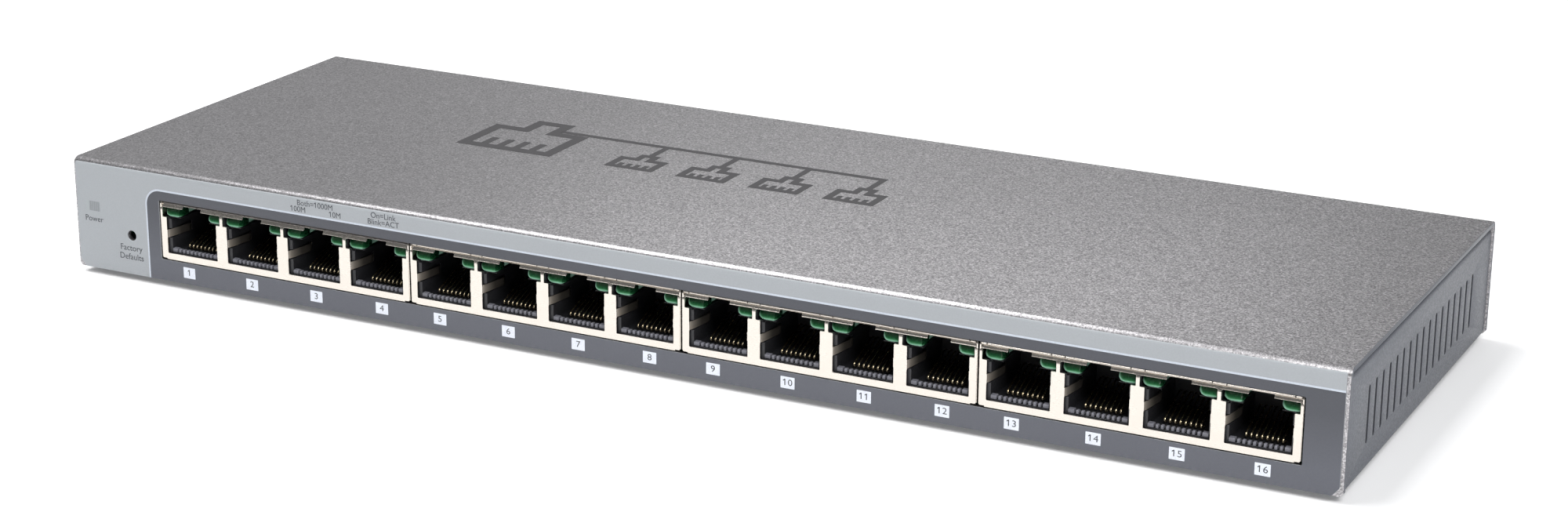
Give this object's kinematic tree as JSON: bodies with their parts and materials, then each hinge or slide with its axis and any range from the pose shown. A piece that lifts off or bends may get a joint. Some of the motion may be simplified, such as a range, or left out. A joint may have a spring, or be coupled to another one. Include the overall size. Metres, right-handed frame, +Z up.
{
  "type": "desktop network switch",
  "caption": "Slim metal desktop network switch with a row of shielded port jacks, port lights, side vents and a recessed reset button.",
  "frame": {"origin": "bottom centre of the whole object, under its rubber feet", "axes": "+X to the right along the row of ports as seen from the front, the ports face -Y, +Z up"},
  "size_m": [0.286, 0.101, 0.026],
  "materials": {
    "cover_paint": "fine metallic powder coat",
    "chassis_paint": "matte powder coat",
    "overlay_print": "fine-textured printed film",
    "rubber": "matte",
    "circuit_board": "satin solder mask",
    "plated_shield": "bright nickel plate",
    "black_plastic": "satin moulded",
    "green_lens": "polished, tinted",
    "gold_contact": "gold flash",
    "frosted_lens": "frosted",
    "zinc_steel": "zinc plated",
    "anodised_fins": "black anodised",
    "chip_epoxy": "matte",
    "capacitor_sleeve": "shrink sleeve"
  },
  "bodies": {
    "chassis": {"top_cover": "cover_paint", "base_chassis": "chassis_paint", "front_overlay": "overlay_print", "rubber_foot_1": "rubber", "rubber_foot_2": "rubber", "rubber_foot_3": "rubber", "rubber_foot_4": "rubber", "main_pcb": "circuit_board", "jack_shield_1": "plated_shield", "jack_shield_2": "plated_shield", "jack_shield_3": "plated_shield", "jack_shield_4": "plated_shield", "jack_housing_1": "black_plastic", "jack_housing_2": "black_plastic", "jack_housing_3": "black_plastic", "jack_housing_4": "black_plastic", "port_light_pipe_1": "green_lens", "port_light_pipe_2": "green_lens", "port_light_pipe_3": "green_lens", "port_light_pipe_4": "green_lens", "contact_comb_01": "gold_contact", "contact_comb_02": "gold_contact", "contact_comb_03": "gold_contact", "contact_comb_04": "gold_contact", "contact_comb_05": "gold_contact", "contact_comb_06": "gold_contact", "contact_comb_07": "gold_contact", "contact_comb_08": "gold_contact", "contact_comb_09": "gold_contact", "contact_comb_10": "gold_contact", "contact_comb_11": "gold_contact", "contact_comb_12": "gold_contact", "contact_comb_13": "gold_contact", "contact_comb_14": "gold_contact", "contact_comb_15": "gold_contact", "contact_comb_16": "gold_contact", "power_light_pipe": "frosted_lens", "reset_switch_body": "black_plastic", "dc_inlet_body": "black_plastic", "dc_inlet_pin": "plated_shield", "cover_screw_1": "zinc_steel", "cover_screw_2": "zinc_steel", "cover_screw_3": "zinc_steel", "cover_screw_4": "zinc_steel", "pcb_screw_1": "zinc_steel", "pcb_screw_2": "zinc_steel", "pcb_screw_3": "zinc_steel", "pcb_screw_4": "zinc_steel", "switch_chip": "chip_epoxy", "phy_chip": "chip_epoxy", "heat_sink_1": "anodised_fins", "heat_sink_2": "anodised_fins", "magnetics_1": "chip_epoxy", "magnetics_2": "chip_epoxy", "magnetics_3": "chip_epoxy", "magnetics_4": "chip_epoxy", "power_inductor": "chip_epoxy", "electrolytic_capacitor": "capacitor_sleeve", "clock_crystal": "zinc_steel"},
    "reset_button": {"reset_plunger": "black_plastic"}
  },
  "joints": [
    {"name": "reset_press", "type": "slide", "parent": "chassis", "child": "reset_button", "axis": [0, 1, 0], "range_m": [0, 0.00025], "stiffness_N_per_m": 4000}
  ]
}
